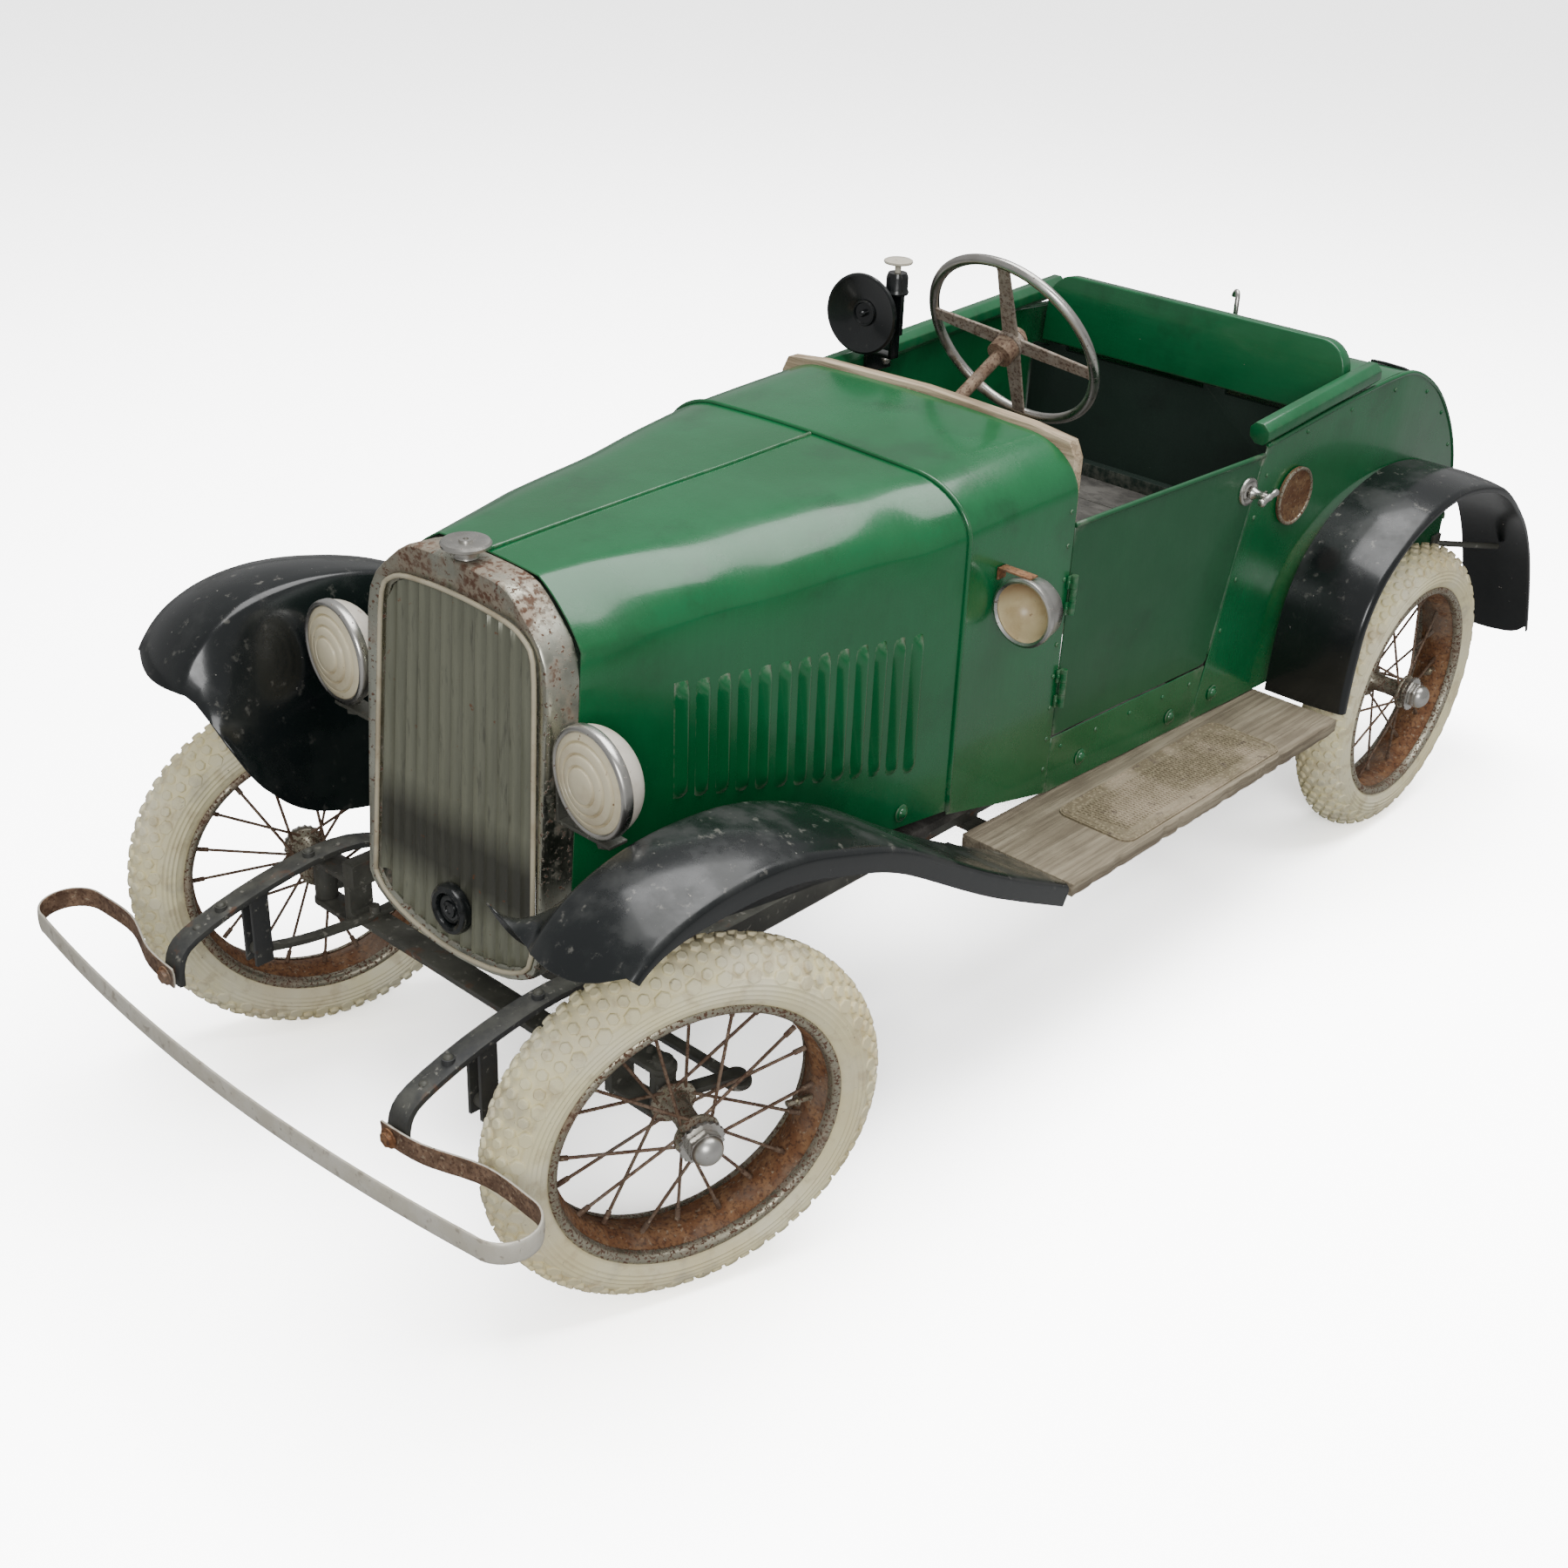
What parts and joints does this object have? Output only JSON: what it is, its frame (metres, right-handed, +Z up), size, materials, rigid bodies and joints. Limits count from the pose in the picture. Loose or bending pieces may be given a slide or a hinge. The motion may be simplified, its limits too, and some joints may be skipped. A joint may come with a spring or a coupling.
{
  "type": "pedal car",
  "caption": "Child's vintage open pedal car with long bonnet, wire wheels with cream tyres, black fenders, running boards, lamps, horn and a side door.",
  "frame": {"origin": "on the ground, under the middle of the whole outline", "axes": "+Z up; -Y the way the car faces, so +Y runs to the tail; +X the left side of the car"},
  "size_m": [0.6376, 1.581, 0.6432],
  "materials": {
    "green_paint": "gloss brushed green paint, chipped",
    "green_wood": "green painted wood",
    "dark_green": "dull dark green",
    "chrome_worn": "worn plating with rust specks",
    "grille_paint": "dark fluted sheet",
    "cream_paint": "aged cream paint",
    "lamp_shell": "off-white shell",
    "lens_cream": "moulded cream lens",
    "black_paint": "gloss black, dusty",
    "board_wood": "weathered grey wood",
    "mat_tan": "ribbed tan mat",
    "bare_wood": "bare wood",
    "seat_wood": "worn grey-black board",
    "steel_grey": "grey-green painted steel",
    "rust_steel": "rusted steel",
    "tyre_cream": "aged cream rubber",
    "wheel_plated": "plated rim with rust",
    "ivory": "ivory cap"
  },
  "bodies": {
    "frame": {"chassis": "steel_grey", "floor_boards": "seat_wood", "seat_board": "seat_wood", "seat_bulkhead": "dark_green", "seat_back_board": "green_wood", "dash_board": "bare_wood", "radiator_shell": "chrome_worn", "radiator_grille": "grille_paint", "grille_bead": "cream_paint", "radiator_cap": "chrome_worn", "bonnet": "green_paint", "body_beads": "green_paint", "louvres": "green_paint", "scuttle": "green_paint", "sill_left": "green_paint", "side_panel_right": "green_paint", "rear_quarter_left": "green_paint", "tail_skin": "green_paint", "coaming_rails": "green_wood", "headlamps": "lamp_shell", "headlamp_lenses": "lens_cream", "lamp_brackets": "steel_grey", "side_lamps": "chrome_worn", "quarter_dish": "rust_steel", "front_fender_left": "black_paint", "front_fender_right": "black_paint", "rear_fenders": "black_paint", "fender_stays": "rust_steel", "running_boards": "board_wood", "board_mats": "mat_tan", "dumb_irons": "steel_grey", "bumper": "chrome_worn", "front_axle": "steel_grey", "leaf_springs": "steel_grey", "horn": "black_paint", "axle_brackets": "steel_grey", "body_bolts": "green_paint", "column_bracket": "steel_grey", "door_hinges": "green_paint"},
    "stub_left": {"stub_axle_left": "steel_grey"},
    "stub_right": {"stub_axle_right": "steel_grey"},
    "front_wheel_left": {"tyre_front_left": "tyre_cream", "wheel_front_left": "wheel_plated"},
    "front_wheel_right": {"tyre_front_right": "tyre_cream", "wheel_front_right": "wheel_plated"},
    "rear_axle": {"crank_axle": "steel_grey", "tyre_rear_left": "tyre_cream", "wheel_rear_left": "wheel_plated", "tyre_rear_right": "tyre_cream", "wheel_rear_right": "wheel_plated"},
    "steering": {"steering_column": "rust_steel", "steering_wheel": "chrome_worn"},
    "track": {"track_rod": "steel_grey"},
    "door_leaf": {"door": "green_paint"},
    "handle": {"door_handle": "chrome_worn"},
    "button": {"horn_button": "ivory"},
    "lever_left": {"pedal_left": "steel_grey"},
    "lever_right": {"pedal_right": "steel_grey"},
    "rod_left": {"pedal_rod_left": "steel_grey"},
    "rod_right": {"pedal_rod_right": "steel_grey"}
  },
  "joints": [
    {"name": "kingpin_left", "type": "hinge", "parent": "frame", "child": "stub_left", "pos_m": [0.209, -0.54, 0.15868], "axis": [0, 0, 1], "range_deg": [-5.5, 44.5]},
    {"name": "kingpin_right", "type": "hinge", "parent": "frame", "child": "stub_right", "pos_m": [-0.209, -0.54, 0.15868], "axis": [0, 0, 1], "range_deg": [-5.5, 44.5]},
    {"name": "front_spin_left", "type": "hinge", "parent": "stub_left", "child": "front_wheel_left", "pos_m": [0.24576, -0.55302, 0.15868], "axis": [0.9403, -0.333, -0.0698], "continuous": true},
    {"name": "front_spin_right", "type": "hinge", "parent": "stub_right", "child": "front_wheel_right", "pos_m": [-0.24576, -0.52698, 0.15868], "axis": [0.9403, -0.333, 0.0698], "continuous": true},
    {"name": "steering_turn", "type": "hinge", "parent": "frame", "child": "steering", "pos_m": [0, 0.1115, 0.558], "axis": [0, 0.891, 0.454], "range_deg": [-3.5, 27.7]},
    {"name": "track_slide", "type": "slide", "parent": "frame", "child": "track", "axis": [1, 0, 0], "range_m": [-0.047, 0.006]},
    {"name": "rear_spin", "type": "hinge", "parent": "frame", "child": "rear_axle", "pos_m": [0, 0.515, 0.159], "axis": [1, 0, 0], "continuous": true},
    {"name": "rod_turn_left", "type": "hinge", "parent": "rear_axle", "child": "rod_left", "pos_m": [0.06, 0.481, 0.159], "axis": [1, 0, 0], "continuous": true},
    {"name": "rod_turn_right", "type": "hinge", "parent": "rear_axle", "child": "rod_right", "pos_m": [-0.06, 0.549, 0.159], "axis": [1, 0, 0], "continuous": true},
    {"name": "lever_swing_left", "type": "hinge", "parent": "frame", "child": "lever_left", "pos_m": [0.07, -0.2125, 0.452], "axis": [1, 0, 0], "range_deg": [0, 20.6]},
    {"name": "lever_swing_right", "type": "hinge", "parent": "frame", "child": "lever_right", "pos_m": [-0.07, -0.2125, 0.452], "axis": [1, 0, 0], "range_deg": [-20.6, 0]},
    {"name": "door_swing", "type": "hinge", "parent": "frame", "child": "door_leaf", "pos_m": [0.1808, -0.0175, 0.35], "axis": [0, 0, 1], "range_deg": [-75, 0]},
    {"name": "handle_turn", "type": "hinge", "parent": "door_leaf", "child": "handle", "pos_m": [0.1907, 0.2455, 0.431], "axis": [1, 0, 0], "range_deg": [0, 60]},
    {"name": "button_press", "type": "slide", "parent": "frame", "child": "button", "axis": [0, 0, 1], "range_m": [-0.004, 0], "stiffness_N_per_m": 400}
  ],
  "couplings": [
    {"joint": "kingpin_right", "follows": "kingpin_left", "ratio": 1},
    {"joint": "steering_turn", "follows": "kingpin_left", "ratio": 0.6188},
    {"joint": "track_slide", "follows": "kingpin_left", "m_per_rad": -0.06005},
    {"joint": "rod_turn_left", "follows": "rear_spin", "ratio": -1},
    {"joint": "rod_turn_right", "follows": "rear_spin", "ratio": -1},
    {"joint": "lever_swing_right", "follows": "lever_swing_left", "ratio": -1}
  ]
}
